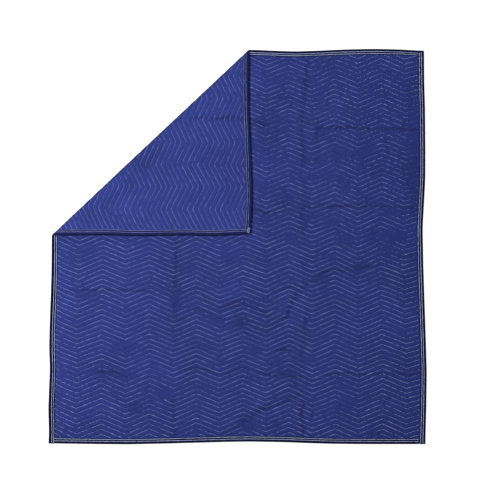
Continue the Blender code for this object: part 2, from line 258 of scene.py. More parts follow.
# Patches of the face where the rows hardly show, as they lie before the outline is made uneven
Patch = namedtuple("Patch", "u down reach_u reach_down")
FADED = (
    Patch(1.109, 0.419, 0.078, 0.021), Patch(1.416, 0.558, 0.059, 0.041),
    Patch(1.333, 0.574, 0.039, 0.031), Patch(1.563, 0.512, 0.049, 0.052),
    Patch(1.636, 0.962, 0.059, 0.031), Patch(1.465, 0.982, 0.059, 0.036),
    Patch(1.778, 0.522, 0.034, 0.310), Patch(0.996, 1.557, 0.049, 0.031),
    Patch(1.109, 1.619, 0.049, 0.036), Patch(1.133, 1.686, 0.098, 0.026),
    Patch(0.977, 1.945, 0.059, 0.052), Patch(0.874, 1.076, 0.039, 0.041),
    Patch(0.098, 1.091, 0.034, 0.031), Patch(0.186, 1.039, 0.063, 0.031),
    Patch(0.376, 1.536, 0.088, 0.031), Patch(0.552, 1.779, 0.059, 0.031),
    Patch(0.615, 1.308, 0.029, 0.093), Patch(0.361, 1.686, 0.039, 0.031),
    Patch(0.430, 1.847, 0.044, 0.036), Patch(0.068, 1.676, 0.034, 0.026),
    Patch(1.455, 1.826, 0.044, 0.041), Patch(1.343, 1.195, 0.039, 0.031),
    Patch(1.538, 1.122, 0.059, 0.026), Patch(1.670, 1.034, 0.059, 0.047),
    Patch(0.928, 1.412, 0.039, 0.047), Patch(1.699, 0.962, 0.068, 0.041),
    Patch(0.220, 1.671, 0.098, 0.016), Patch(1.367, 0.419, 0.078, 0.016),
    Patch(1.660, 0.419, 0.098, 0.016),
)

# How the cloth lies
FACE_LIFT = 0.0045  # how far the face stands up between its creases
FACE_SWELL, FACE_RIPPLE = 0.0010, 0.0002
FLAP_LIFT = 0.0022  # how far the folded corner does
FLAP_SWELL, FLAP_RIPPLE = 0.0009, 0.0001
DRIFT_ACROSS = 0.0015  # the quilting's small random drifts
DRIFT_UP = 0.0045
CREASE_WANDER = 0.0025  # how far a crease strays from the straight line between its points
CREASE_VARIATION = 0.35  # how much its depth changes along it
CREASE_LEAST, CREASE_MOST = 0.5, 1.5
FOLD_SWELL = 0.0060  # how far the folded edge stands proud of the folded corner
SWELL_FLAT = 0.015  # the swell keeps its height this far in from the fold
SWELL_WIDTH = 0.055
SWELL_PEAK = 0.36  # share of the fold's length, from its lower end, where the swell is highest
SWELL_PEAK_WIDTH = 0.20
SWELL_LEAST = 0.45  # share of the swell far from the peak

# Painted shade on the cloth
VALLEY_SHADE = 0.42  # along a sewn row
VALLEY_REACH = 0.24  # share of the row pitch that it takes up on either side
FOLD_SHADE = 2.3  # round the fold
FOLD_SHADE_WIDTH = 0.0065  # on the folded corner, beside the fold

NOISE = np.random.default_rng(4155)


def waves(count, longest, shortest):
    """A few plane waves with fixed directions and phases, as rows of ku, kv, phase, weight."""
    lengths = np.exp(NOISE.uniform(math.log(shortest), math.log(longest), count))
    turns = NOISE.uniform(0, 2 * math.pi, count)
    shifts = NOISE.uniform(0, 2 * math.pi, count)
    pulls = 2 * math.pi / lengths
    weights = lengths / lengths.max()
    return np.stack([pulls * np.cos(turns), pulls * np.sin(turns), shifts, weights], axis=1)


def ripple(table, a, b):
    """Sum of the plane waves, about -1 to 1."""
    total = np.zeros(np.shape(a))
    for ka, kb, shift, weight in table:
        total = total + weight * np.sin(ka * a + kb * b + shift)
    return total / (0.7 * math.sqrt(len(table)))


DRIFT_U = waves(9, longest=0.90, shortest=0.25)
DRIFT_V = waves(9, longest=0.90, shortest=0.25)
SWELL = waves(16, longest=0.50, shortest=0.10)
FINE_SWELL = waves(18, longest=0.12, shortest=0.035)
PUFF = waves(14, longest=0.20, shortest=0.03)
FAINT = waves(16, longest=0.30, shortest=0.05)
UNEVEN = waves(14, longest=0.30, shortest=0.06)
SPARKLE = waves(16, longest=0.12, shortest=0.03)


def smooth_step(x):
    x = np.clip(x, 0.0, 1.0)
    return x * x * (3 - 2 * x)


def eased(distance, start, over):
    """0 up to start, then rising smoothly to 1 over the given width."""
    return smooth_step((distance - start) / over)


def bell(distance, width):
    """1 at no distance, falling away smoothly over the width."""
    return np.exp(-((distance / width) ** 2))


def softened(table, length):
    """The sway table sampled finely, with its corners rounded."""
    at = np.linspace(0.0, length, SWAY_SAMPLES)
    out = np.interp(at, *zip(*table))
    step = at[1] - at[0]
    reach = int(BELL_REACH * SWAY_SOFTEN / step)
    weights = bell(np.arange(-reach, reach + 1) * step, SWAY_SOFTEN)
    padded = np.pad(out, reach, mode="edge")
    return at, np.convolve(padded, weights / weights.sum(), mode="valid")


LEFT = softened(LEFT_SWAY, LENGTH)
RIGHT = softened(RIGHT_SWAY, LENGTH)
BOTTOM = softened(BOTTOM_SWAY, WIDTH)
TOP = softened(TOP_SWAY, WIDTH)


def sway_share(inset):
    """How much of its edge's sway a place takes on."""
    along = np.clip((inset - SWAY_FULL) / (SWAY_END - SWAY_FULL), 0.0, 1.0)
    return (1 + np.cos(math.pi * along)) / 2


def inset_of(u, v):
    """Distance in from the nearest edge."""
    return np.minimum(np.minimum(u, WIDTH - u), np.minimum(v, LENGTH - v))


def swayed(u, v):
    """Flat points moved with the uneven outline and the cloth's own drift."""
    off_fold = np.abs(FOLD_LEG - u - (LENGTH - v)) / math.sqrt(2)
    off_bend = eased(off_fold, start=0.0, over=0.20)
    free = eased(inset_of(u, v), start=0.03, over=0.25) * off_bend
    off_sides = eased(np.minimum(u, WIDTH - u), start=0.03, over=0.05) * off_bend
    drift_u = DRIFT_ACROSS * ripple(DRIFT_U, u, v) * free
    drift_u = drift_u + np.interp(u, *zip(*PATTERN_DRIFT)) * off_sides
    drift_v = DRIFT_UP * ripple(DRIFT_V, u, v) * free
    left = np.interp(v, *LEFT) * sway_share(u)
    right = np.interp(v, *RIGHT) * sway_share(WIDTH - u)
    bottom = np.interp(u, *BOTTOM) * sway_share(v)
    top = np.interp(u, *TOP) * sway_share(LENGTH - v)
    return u - left + right + drift_u, v - bottom + top + drift_v


def folded(u, v, w):
    """Where swayed points lie once the corner is turned over, and each point's share of the turn."""
    past = (FOLD_LEG - u - (LENGTH - v)) / math.sqrt(2)
    turn = np.clip((past - BEND_START) / BEND_RADIUS, 0.0, math.pi)
    radius = BEND_CENTRE - w
    after = np.maximum(past - BEND_START - BEND_LENGTH, 0.0)
    before = np.minimum(past, BEND_START)
    new_past = before + radius * np.sin(turn) - after
    height = BEND_CENTRE - radius * np.cos(turn)
    shift = (new_past - past) / math.sqrt(2)
    return u - shift, v + shift, height, turn / math.pi


def offsets(points, x, y):
    """Distance from each (x, y) to a line through the points, and how far right of it that is."""
    nearest = np.full(np.shape(x), 1e9)
    beside = np.zeros(np.shape(x))
    for (ax, ay), (bx, by) in zip(points, points[1:]):
        length = math.hypot(bx - ax, by - ay)
        along = ((x - ax) * (bx - ax) + (y - ay) * (by - ay)) / length
        right = ((y - ay) * (bx - ax) - (x - ax) * (by - ay)) / length
        gap = np.hypot(right, along - np.clip(along, 0.0, length))
        closer = gap < nearest
        nearest = np.where(closer, gap, nearest)
        beside = np.where(closer, right, beside)
    return nearest, beside


def creased(creases, spots, x, down):
    """Height, and painted shade, that creases and spots give at places of the lying blanket."""
    wander = CREASE_WANDER * ripple(FINE_SWELL, x, down)
    uneven = 1.0 + CREASE_VARIATION * ripple(UNEVEN, x, down)
    uneven = np.clip(uneven, CREASE_LEAST, CREASE_MOST)
    height = np.zeros(np.shape(x))
    shade = np.zeros(np.shape(x))
    for crease in creases:
        gap, right = offsets(crease.points, x + wander, down - wander)
        near = (gap / crease.width) ** 2
        height -= uneven * crease.rise * (right / crease.width) * np.exp(0.5 - near / 2)
        shade = np.maximum(shade, uneven * crease.shade * np.exp(-near))
    for spot in spots:
        within = bell(np.hypot(x - spot.u, down - spot.down), spot.radius)
        height += spot.height * within
        shade = np.maximum(shade, spot.shade * within)
    return height, shade


def fold_side(x, y):
    """Distance inside the fold line, once folded."""
    return (x + LENGTH - y - FOLD_LEG) / math.sqrt(2)


def main_lift(x, y):
    """Height of the lying blanket over its flat place, from where it lies."""
    down = LENGTH - y
    inside = np.minimum(inset_of(x, y), fold_side(x, y))
    free = eased(inside, start=0.02, over=0.10)
    off_flap = np.maximum(x - FOLD_LEG, down - FOLD_LEG)
    clear_of_flap = eased(off_flap, start=-0.004, over=0.05)
    body = FACE_LIFT + FACE_SWELL * ripple(SWELL, x, y) + FACE_RIPPLE * ripple(FINE_SWELL, x, y)
    body = body + creased(FACE_CREASES, FACE_SPOTS, x, down)[0]
    return np.maximum(body, 0.0) * free * clear_of_flap


def flap_lift(x, y):
    """Further height of the folded corner over the face, from where it lies."""
    down = LENGTH - y
    inside = fold_side(x, y)
    along = (x + y - (LENGTH - FOLD_LEG)) / (2 * FOLD_LEG)
    strong = SWELL_LEAST + (1 - SWELL_LEAST) * bell(along - SWELL_PEAK, SWELL_PEAK_WIDTH)
    strong = strong * eased(along, start=0.0, over=0.10) * eased(1 - along, start=0.0, over=0.10)
    swell = FOLD_SWELL * strong * bell(np.maximum(inside - SWELL_FLAT, 0.0), SWELL_WIDTH)
    edge = np.minimum(FOLD_LEG - x, FOLD_LEG - down)
    free = eased(edge, start=0.01, over=0.12) * eased(inside, start=0.01, over=0.08)
    body = FLAP_LIFT + FLAP_SWELL * ripple(SWELL, x, y) + FLAP_RIPPLE * ripple(FINE_SWELL, x, y)
    body = body + creased(FLAP_CREASES, (), x, down)[0]
    return swell + np.maximum(body, 0.0) * free


def zigzag(u):
    """Rise of a sewn row at u, from 0 at a trough to its full rise at a peak."""
    turn = np.mod((u - FIRST_TROUGH_U) / ZIGZAG_PERIOD, 1)
    return ZIGZAG_RISE * 2 * np.minimum(turn, 1 - turn)


def painted_shade_share(u, v):
    """Painted shade at a flat point: some along the rows, 0 off the creases, 1 in a deep one, more at
    the fold.
    """
    from_row = np.abs(np.mod((v - zigzag(u)) / ROW_PITCH + 0.5, 1) - 0.5)
    valley = VALLEY_SHADE * np.clip(1 - from_row / VALLEY_REACH, 0.0, 1.0)
    u, v = swayed(u, v)
    x, y, _, turned = folded(u, v, np.zeros(np.shape(u)))
    on_face = creased(FACE_CREASES, FACE_SPOTS, x, LENGTH - y)[1] * (turned < 0.5)
    on_flap = creased(FLAP_CREASES, (), x, LENGTH - y)[1] * (turned >= 0.5)
    inside = np.maximum(fold_side(x, y), 0.0)
    beside_fold = bell(inside, FOLD_SHADE_WIDTH) * (turned >= 0.5)
    on_fold = FOLD_SHADE * np.maximum(1 - np.abs(2 * turned - 1) ** 2, beside_fold)
    return valley + on_face + on_flap + on_fold


def settle(u, v, w):
    """Flat points taken to the row frame."""
    u, v = swayed(u, v)
    x, y, z, turned = folded(u, v, w)
    z = z + main_lift(x, y) + flap_lift(x, y) * smooth_step(turned)
    return np.stack([x - MIDDLE_U, y - MIDDLE_V, z], axis=-1)


def puff(u, v):
    """Share of the ridge height at a flat point: 0 on a sewn row, about 1 halfway to the next."""
    across = np.mod((v - zigzag(u)) / ROW_PITCH, 1)
    shape = 1 - np.abs(2 * across - 1) ** RIDGE_FULLNESS
    return shape * (RIDGE_SHARE + RIDGE_VARIATION * ripple(PUFF, u, v))


def depth_in(u, v):
    """How far the quilted surface lies under the tops of its ridges."""
    rise = eased(inset_of(u, v), start=QUILT_INSET, over=RIDGE_RUN_OUT)
    quilted = RIDGE_HEIGHT * (1 - puff(u, v))
    return quilted * rise + (TAPE_THICKNESS + CLEARANCE) * (1 - rise)


def new_mesh(points, faces):
    mesh = bpy.data.meshes.new("piece")
    mesh.from_pydata(points, [], faces)
    return mesh


def points_of(mesh):
    """The mesh's points as an array with a row for each."""
    flat = np.empty(len(mesh.vertices) * 3, np.float32)
    mesh.vertices.foreach_get("co", flat)
    return flat.reshape(-1, 3).astype(float)


def crosses(edge, past):
    """Whether a mesh edge meets the line that lies this far past the fold."""
    first, second = (
        (FOLD_LEG - x.co.x - (LENGTH - x.co.y)) / math.sqrt(2) - past for x in edge.verts
    )
    return first * second <= 0


def cut_at_fold(mesh):
    """Cuts a flat mesh along the bend, so that it turns in even steps."""
    bm = bmesh.new()
    bm.from_mesh(mesh)
    across = Vector((-1, 1, 0)).normalized()
    for step in range(BEND_STEPS + 1):
        past = BEND_START + BEND_LENGTH * step / BEND_STEPS
        on_left_edge = (0, LENGTH - FOLD_LEG + past * math.sqrt(2), 0)
        near = [e for e in bm.edges if crosses(e, past)]
        faces = {f for e in near for f in e.link_faces}
        verts = {x for f in faces for x in f.verts}
        edges = {x for f in faces for x in f.edges}
        bmesh.ops.bisect_plane(
            bm,
            geom=list(verts) + list(edges) + list(faces),
            dist=1e-5,
            plane_co=on_left_edge,
            plane_no=across,
        )
    bm.to_mesh(mesh)
    bm.free()


def add_object(name, data):
    made = bpy.data.objects.new(name, data)
    bpy.context.scene.collection.objects.link(made)
    return made


def set_attribute(mesh, name, values):
    layer = mesh.attributes.new(name=name, type="FLOAT", domain="POINT")
    layer.data.foreach_set("value", values.astype(np.float32))


def add_piece(name, mesh, material):
    """A settled piece. Its flat places stay as a UV map in metres, for the materials."""
    mesh.name = name
    flat = points_of(mesh)
    loops = np.empty(len(mesh.loops), np.int32)
    mesh.loops.foreach_get("vertex_index", loops)
    uv = mesh.uv_layers.new(name="flat")
    uv.data.foreach_set("uv", flat[loops, :2].astype(np.float32).ravel())
    # painted shade, which darkens the cloth materials in creases, along rows and at the fold
    set_attribute(mesh, "painted_shade", painted_shade_share(flat[:, 0], flat[:, 1]))
    set_attribute(mesh, "reverse", np.clip(1 - flat[:, 2] / THICKNESS, 0.0, 1.0))
    settled = settle(flat[:, 0], flat[:, 1], flat[:, 2])
    mesh.vertices.foreach_set("co", settled.astype(np.float32).ravel())
    mesh.shade_smooth()
    mesh.materials.append(material)
    mesh.update()
    return add_object(name, mesh)


# Node materials

Bump = namedtuple("Bump", "height distance strength")


def connect(tree, socket, value):
    """Sets a socket to a constant, or links it to another node's output."""
    if isinstance(value, (int, float, tuple)):
        socket.default_value = value
    else:
        tree.links.new(value, socket)


def node(tree, kind, **values):
    """A new node. Values named like one of its inputs go there, the others are its settings."""
    made = tree.nodes.new(kind)
    for key, value in values.items():
        if key in made.inputs:
            connect(tree, made.inputs[key], value)
        else:
            setattr(made, key, value)
    return made


def math_node(tree, operation, *values):
    made = node(tree, "ShaderNodeMath", operation=operation)
    for socket, value in zip(made.inputs, values):
        connect(tree, socket, value)
    return made.outputs[0]


def noise(tree, vector, scale, detail, roughness=0.55):
    made = node(tree, "ShaderNodeTexNoise", Scale=scale, Detail=detail, Roughness=roughness)
    connect(tree, made.inputs["Vector"], vector)
    return made.outputs["Fac"]


def mix_colour(tree, share, first, second, blend="MIX"):
    made = node(tree, "ShaderNodeMix", data_type="RGBA", blend_type=blend)
    for key, value in (("Factor", share), ("A", first), ("B", second)):
        connect(tree, made.inputs[key], value)
    return made.outputs["Result"]


def ramp(tree, value, low, high):
    """0 below the low value and 1 above the high one."""
    made = node(tree, "ShaderNodeMapRange", Value=value, clamp=True)
    made.inputs["From Min"].default_value = low
    made.inputs["From Max"].default_value = high
    return made.outputs["Result"]


def new_material(name, roughness, shine, sheen):
    """A material with its node tree, its shader and the flat places that its nodes use."""
    made = bpy.data.materials.new(name)
    made.use_nodes = True
    tree = made.node_tree
    shader = tree.nodes["Principled BSDF"]
    shader.inputs["Roughness"].default_value = roughness
    shader.inputs["Specular IOR Level"].default_value = shine
    shader.inputs["Sheen Weight"].default_value = sheen
    shader.inputs["Sheen Roughness"].default_value = 0.5
    flat = node(tree, "ShaderNodeUVMap", uv_map="flat")
    return made, tree, shader, flat.outputs["UV"]


def bump_chain(tree, shader, bumps):
    """Bumps laid one on another."""
    normal = None
    for bump in bumps:
        made = node(tree, "ShaderNodeBump", Distance=bump.distance, Strength=bump.strength)
        connect(tree, made.inputs["Height"], bump.height)
        if normal is not None:
            connect(tree, made.inputs["Normal"], normal)
        normal = made.outputs["Normal"]
    tree.links.new(normal, shader.inputs["Normal"])


def weave_height(tree, uv, pitch):
    """Plain weave: over and under threads both ways."""
    split = node(tree, "ShaderNodeSeparateXYZ", Vector=uv)
    turn = math.pi / pitch
    across = math_node(tree, "SINE", math_node(tree, "MULTIPLY", split.outputs[0], turn))
    along = math_node(tree, "SINE", math_node(tree, "MULTIPLY", split.outputs[1], turn))
    crossed = math_node(tree, "MULTIPLY", across, along)
    return math_node(tree, "ABSOLUTE", crossed)


def scaled(colour, factor):
    """A colour made lighter or darker, with its alpha."""
    return tuple(factor * x for x in colour) + (1.0,)


HEATHER_DARK = (0.55, 0.55, 0.55, 1)
HEATHER_LIGHT = (1.5, 1.5, 1.45, 1)
HEATHER_SHARE = 0.22
LINT = (0.30, 0.34, 0.62, 1)
LINT_SHARE = 0.12
PAINTED_SHADE_SHARE = 0.42  # how far the painted shade of the deepest crease goes to the shaded tone
PAINTED_SHADE_TONE = 0.25  # of the cloth's own colour
TAPE_DARK = (0.0015, 0.0024, 0.0140, 1)
TAPE_LIGHT = (0.0045, 0.0072, 0.0340, 1)
TAPE_REVERSE = (0.0070, 0.0115, 0.0560, 1)


def cloth_material(name, colour):
    """Blue cloth: patches, single fibres, lint, painted shade in creases, along rows and at the fold,
    and a rough plain weave.
    """
    made, tree, shader, uv = new_material(name, roughness=0.85, shine=0.05, sheen=0.02)
    patch = ramp(tree, noise(tree, uv, scale=4.0, detail=5.0), low=0.30, high=0.70)
    shade = mix_colour(tree, patch, scaled(colour, 0.90), scaled(colour, 1.10))
    fibre = ramp(tree, noise(tree, uv, scale=260.0, detail=2.0), low=0.25, high=0.75)
    heather = mix_colour(tree, fibre, HEATHER_DARK, HEATHER_LIGHT)
    shade = mix_colour(tree, HEATHER_SHARE, shade, heather, "MULTIPLY")
    lint = ramp(tree, noise(tree, uv, scale=55.0, detail=6.0, roughness=0.8), low=0.70, high=0.80)
    lint_share = math_node(tree, "MULTIPLY", lint, LINT_SHARE)
    shade = mix_colour(tree, lint_share, shade, LINT)
    # painted shade darkens the colour towards a deeper tone of the cloth
    painted_shade = node(tree, "ShaderNodeAttribute", attribute_name="painted_shade")
    painted_share = math_node(tree, "MULTIPLY", painted_shade.outputs["Fac"], PAINTED_SHADE_SHARE)
    shade = mix_colour(tree, painted_share, shade, scaled(colour, PAINTED_SHADE_TONE))
    tree.links.new(shade, shader.inputs["Base Color"])
    pucker = noise(tree, uv, scale=110.0, detail=3.0, roughness=0.6)
    hollows = noise(tree, uv, scale=22.0, detail=2.0)
    slub = noise(tree, uv, scale=900.0, detail=1.0)
    weave = weave_height(tree, uv, pitch=0.0010)
    bumps = (
        Bump(pucker, distance=0.0022, strength=0.7),
        Bump(hollows, distance=0.0070, strength=0.16),
        Bump(weave, distance=0.00018, strength=0.5),
        Bump(slub, distance=0.0002, strength=0.4),
    )
    bump_chain(tree, shader, bumps)
    return made


def tape_material():
    """Near-black tape, bluer on the reverse side."""
    made, tree, shader, uv = new_material("tape_navy", roughness=0.85, shine=0.02, sheen=0.0)
    patch = ramp(tree, noise(tree, uv, scale=40.0, detail=4.0, roughness=0.7), low=0.35, high=0.75)
    shade = mix_colour(tree, patch, TAPE_DARK, TAPE_LIGHT)
    reverse = node(tree, "ShaderNodeAttribute", attribute_name="reverse")
    turned = ramp(tree, reverse.outputs["Fac"], low=0.55, high=0.80)
    shade = mix_colour(tree, turned, shade, TAPE_REVERSE)
    tree.links.new(shade, shader.inputs["Base Color"])
    crumple = noise(tree, uv, scale=90.0, detail=2.0)
    weave = weave_height(tree, uv, pitch=0.0012)
    bumps = (
        Bump(crumple, distance=0.0010, strength=0.5),
        Bump(weave, distance=0.0003, strength=0.6),
    )
    bump_chain(tree, shader, bumps)
    return made


def thread_material(name, dull, bright):
    made, tree, shader, uv = new_material(name, roughness=0.70, shine=0.10, sheen=0.0)
    patch = ramp(tree, noise(tree, uv, scale=30.0, detail=3.0, roughness=0.7), low=0.30, high=0.70)
    tree.links.new(mix_colour(tree, patch, dull, bright), shader.inputs["Base Color"])
    strands = noise(tree, uv, scale=1500.0, detail=1.0)
    bump_chain(tree, shader, (Bump(strands, distance=0.0002, strength=0.5),))
    return made


FACE_BLUE = cloth_material("cloth_face", (0.0137, 0.0217, 0.1180))
BACK_BLUE = cloth_material("cloth_back", (0.0163, 0.0256, 0.1390))
TAPE_NAVY = tape_material()
ROW_THREAD = thread_material("thread_rows", (0.26, 0.33, 0.70, 1), (0.52, 0.61, 1.00, 1))
TAPE_THREAD = thread_material("thread_tape", (0.42, 0.50, 0.94, 1), (0.66, 0.74, 1.00, 1))

# Quilted cloths

COLUMN_STEPS = 13  # grid columns in half a zigzag
COLUMN_GAP = 0.002  # the least between the last of them and the run-out of the ridges
ROW_SAMPLES = (0.0, 0.12, 0.37, 0.63, 0.88)  # grid rows, as shares of the row pitch
UNDER_TAPE = (CLOTH_INSET, 0.016, 0.029)  # insets of the grid lines that the tape covers
RIDGE_STARTS = (QUILT_INSET, QUILT_INSET + 0.004, QUILT_INSET + 0.008)
UPRIGHT_CREASES = (0.611, 1.235)  # the grid is finer along these
FINER_REACH = 1.6  # in columns


def quilt_columns():
    """Places of the grid columns, from the left edge."""
    edge = [*UNDER_TAPE, *RIDGE_STARTS]
    inner = QUILT_INSET + RIDGE_RUN_OUT
    step = ZIGZAG_PERIOD / 2 / COLUMN_STEPS
    count = math.ceil(WIDTH / step)
    turns = FIRST_TROUGH_U + step * np.arange(-count, count)
    near = [np.abs(turns - x) < FINER_REACH * step for x in UPRIGHT_CREASES]
    extra = turns[np.any(near, axis=0)] + step / 2
    turns = np.sort(np.concatenate([turns, extra]))
    first, last = inner + COLUMN_GAP, WIDTH - inner - COLUMN_GAP
    turns = turns[(turns > first) & (turns < last)]
    mirrored = [WIDTH - x for x in reversed(edge)]
    return np.array(edge + [inner] + list(turns) + [WIDTH - inner] + mirrored)


def quilt_rows():
    """Height of each grid row of the chevron at a trough."""
    numbers = range(FIRST_ROW, LAST_ROW)
    return [(row + share) * ROW_PITCH for row in numbers for share in ROW_SAMPLES]


def quilt_mesh(outward):
    """One cloth's quilted outer surface, flat. outward is 1 on the face and -1 on the back."""
    columns = quilt_columns()
    low, high = QUILT_INSET, LENGTH - QUILT_INSET
    body = np.array(quilt_rows())[:, None] + zigzag(columns)[None, :]
    body = np.clip(body, low, high)
    ends_low = [np.full(len(columns), x) for x in UNDER_TAPE]
    ends_high = [LENGTH - x for x in reversed(ends_low)]
    v = np.vstack([ends_low, body, ends_high])
    u = np.broadcast_to(columns, v.shape)
    index = np.arange(v.size).reshape(v.shape)
    # where rows are cut off at the same height, one point stands for all of them
    for column in range(v.shape[1]):
        for edge, keep in ((low, -1), (high, 0)):
            same = np.flatnonzero(v[:, column] == edge)
            index[same, column] = index[same[keep], column]
    top = THICKNESS if outward > 0 else 0.0
    w = top - outward * depth_in(u, v)
    corners = [index[:-1, :-1], index[:-1, 1:], index[1:, 1:], index[1:, :-1]]
    quads = np.stack([x.ravel() for x in corners], axis=1)
    left_shut = quads[:, 0] == quads[:, 3]
    right_shut = quads[:, 1] == quads[:, 2]
    whole = quads[~left_shut & ~right_shut]
    left = quads[left_shut & ~right_shut][:, [0, 1, 2]]
    right = quads[~left_shut & right_shut][:, [0, 1, 3]]
    faces = whole.tolist() + left.tolist() + right.tolist()
    if outward < 0:
        faces = [face[::-1] for face in faces]
    used = np.unique([x for face in faces for x in face])
    points = np.stack([u.ravel(), v.ravel(), w.ravel()], axis=1)[used]
    number = np.zeros(v.size, int)
    number[used] = np.arange(len(used))
    mesh = new_mesh(points.tolist(), [number[face].tolist() for face in faces])
    cut_at_fold(mesh)
    return mesh


# Sewing thread

# One end of a stitch: along in lengths, side in widths, up in metres for a thread 1 mm wide
Corner = namedtuple("Corner", "along side up")
STITCH_START = (Corner(-0.5, -0.5, -0.0002), Corner(-0.5, 0.5, -0.0002), Corner(-0.36, 0.0, 0.00055))
STITCH_END = tuple(Corner(-start.along, start.side, start.up) for start in STITCH_START)
UP_WIDTH = 0.001


def stitch_mesh(centre, heading, length, width, level, outward):
    """Short thread bars with sloping ends, lying along heading at each flat centre point."""
    count = len(length)
    across = np.stack([-heading[:, 1], heading[:, 0]], axis=1)
    points = np.empty((count, 6, 3))
    for number, corner in enumerate(STITCH_START + STITCH_END):
        ahead = heading * (corner.along * length)[:, None]
        beside = across * (corner.side * width)[:, None]
        points[:, number, :2] = centre + ahead + beside
        points[:, number, 2] = level + outward * corner.up * (width / UP_WIDTH)
    faces = np.array(((0, 3, 4, 1), (1, 4, 5, 2), (2, 5, 3, 0)))
    caps = np.array(((0, 1, 2), (3, 5, 4)))
    if outward > 0:
        faces, caps = faces[:, ::-1], caps[:, ::-1]
    offset = points.shape[1] * np.arange(count)[:, None, None]
    quads = (faces[None] + offset).reshape(-1, 4).tolist()
    tris = (caps[None] + offset).reshape(-1, 3).tolist()
    return new_mesh(points.reshape(-1, 3).tolist(), quads + tris)


def hidden_share(u, v):
    """How far the rows are hidden in the faded patches of the face."""
    hidden = np.zeros(np.shape(u))
    for patch in FADED:
        across = (u - patch.u) / patch.reach_u
        down = (LENGTH - v - patch.down) / patch.reach_down
        hidden = np.maximum(hidden, np.exp(-((across**2 + down**2) ** 2)))
    return hidden


# A random share: its mean and spread, and the least and the most that it may be
Share = namedtuple("Share", "mean spread least most")


def drawn(random, share, shape, less=0.0):
    """Random shares, their mean lowered by less."""
    values = random.normal(share.mean - less, share.spread, shape)
    return np.clip(values, share.least, share.most)


# The rows of each side. varied is how much they fade and come back, full is how thick the thread
# looks, and fuller is what it gains towards the right.
Rows = namedtuple("Rows", "outward seed varied full fuller")
FACE_ROWS = Rows(outward=1, seed=11, varied=0.30, full=1.02, fuller=0.12)
BACK_ROWS = Rows(outward=-1, seed=12, varied=0.20, full=0.84, fuller=0.0)
ROW_STITCH_PITCH = 0.0070
ROW_STITCH = Share(0.86, 0.08, 0.3, 0.97)  # of the pitch, the rest is the gap to the next one
ROW_THREAD_WIDTH = 0.0011
ROW_THREAD_LEAST, ROW_THREAD_MOST = 0.25, 2.4  # as shares of its width
FAINT_SHARE = 0.20  # how faint the rows are on average
FAINTER_UPPER_RIGHT = 0.08
SKIPPED = 0.02  # share of the stitches that don't show at all
SKIPPED_FAINT = 0.14  # further share where the rows are faint
SHORTER_FAINT = 0.22  # what a faint stitch loses of its length
THINNER_FAINT = 0.66  # and of its thickness
SUNK_FAINT = 0.0001  # how much deeper it lies
PLACE_SPREAD = 0.0002  # along the row
SIDE_SPREAD = 0.00025  # across it
SIDE_SPREAD_UPPER_RIGHT = 0.0006
TILT_SPREAD = 0.05  # radians
THREAD_SPREAD = 0.20
THREAD_RIPPLE = 0.30
NEARBY = 0.0005  # tells whether a row rises or falls


def row_stitches(side):
    """The chevron rows of one side."""
    random = np.random.default_rng(side.seed)
    slope = ZIGZAG_RISE / (ZIGZAG_PERIOD / 2)
    step = ROW_STITCH_PITCH / math.hypot(1, slope)
    u = np.arange(QUILT_INSET, WIDTH - QUILT_INSET, step)
    rows = np.arange(FIRST_ROW, LAST_ROW + 1) * ROW_PITCH
    u, rise = (x.ravel() for x in np.meshgrid(u, rows))
    u = u + random.uniform(0, step) + random.normal(0, PLACE_SPREAD, u.shape)
    v = rise + zigzag(u)
    shown = (v > QUILT_INSET) & (v < LENGTH - QUILT_INSET)
    upper_right = np.zeros(u.shape)
    hidden = np.zeros(u.shape)
    if side.outward > 0:
        upper_right = eased(u, start=0.90, over=0.10) * eased(v, start=0.98, over=0.10)
        hidden = hidden_share(u, v)
    faint = FAINT_SHARE + FAINTER_UPPER_RIGHT * upper_right
    faint = smooth_step(faint + side.varied * ripple(FAINT, u, 2 * v))
    faint = np.maximum(faint, hidden)
    shown &= random.random(u.shape) > SKIPPED + SKIPPED_FAINT * faint
    u, v, rise, faint, upper_right = (x[shown] for x in (u, v, rise, faint, upper_right))
    rising = zigzag(u + NEARBY) > zigzag(u - NEARBY)
    tilt = np.where(rising, math.atan(slope), -math.atan(slope))
    tilt = tilt + random.normal(0, TILT_SPREAD, u.shape)
    heading = np.stack([np.cos(tilt), np.sin(tilt)], axis=1)
    spread = SIDE_SPREAD + SIDE_SPREAD_UPPER_RIGHT * upper_right
    v = v + random.normal(0, 1, v.shape) * spread
    length = ROW_STITCH_PITCH * drawn(random, ROW_STITCH, u.shape, less=SHORTER_FAINT * faint)
    sparkle = 1.0 + THREAD_RIPPLE * ripple(SPARKLE, u, 5 * v)
    sparkle = sparkle + random.normal(0, THREAD_SPREAD, u.shape)
    full = side.full + side.fuller * eased(u, start=0.75, over=0.30)
    thickness = np.clip(full * sparkle - THINNER_FAINT * faint, ROW_THREAD_LEAST, ROW_THREAD_MOST)
    width = ROW_THREAD_WIDTH * thickness
    base = depth_in(u, rise + zigzag(u)) + SUNK_FAINT * faint
    level = (THICKNESS if side.outward > 0 else 0.0) - side.outward * base
    centre = np.stack([u, v], axis=1)
    return stitch_mesh(centre, heading, length, width, level, side.outward)


# Edge tapes

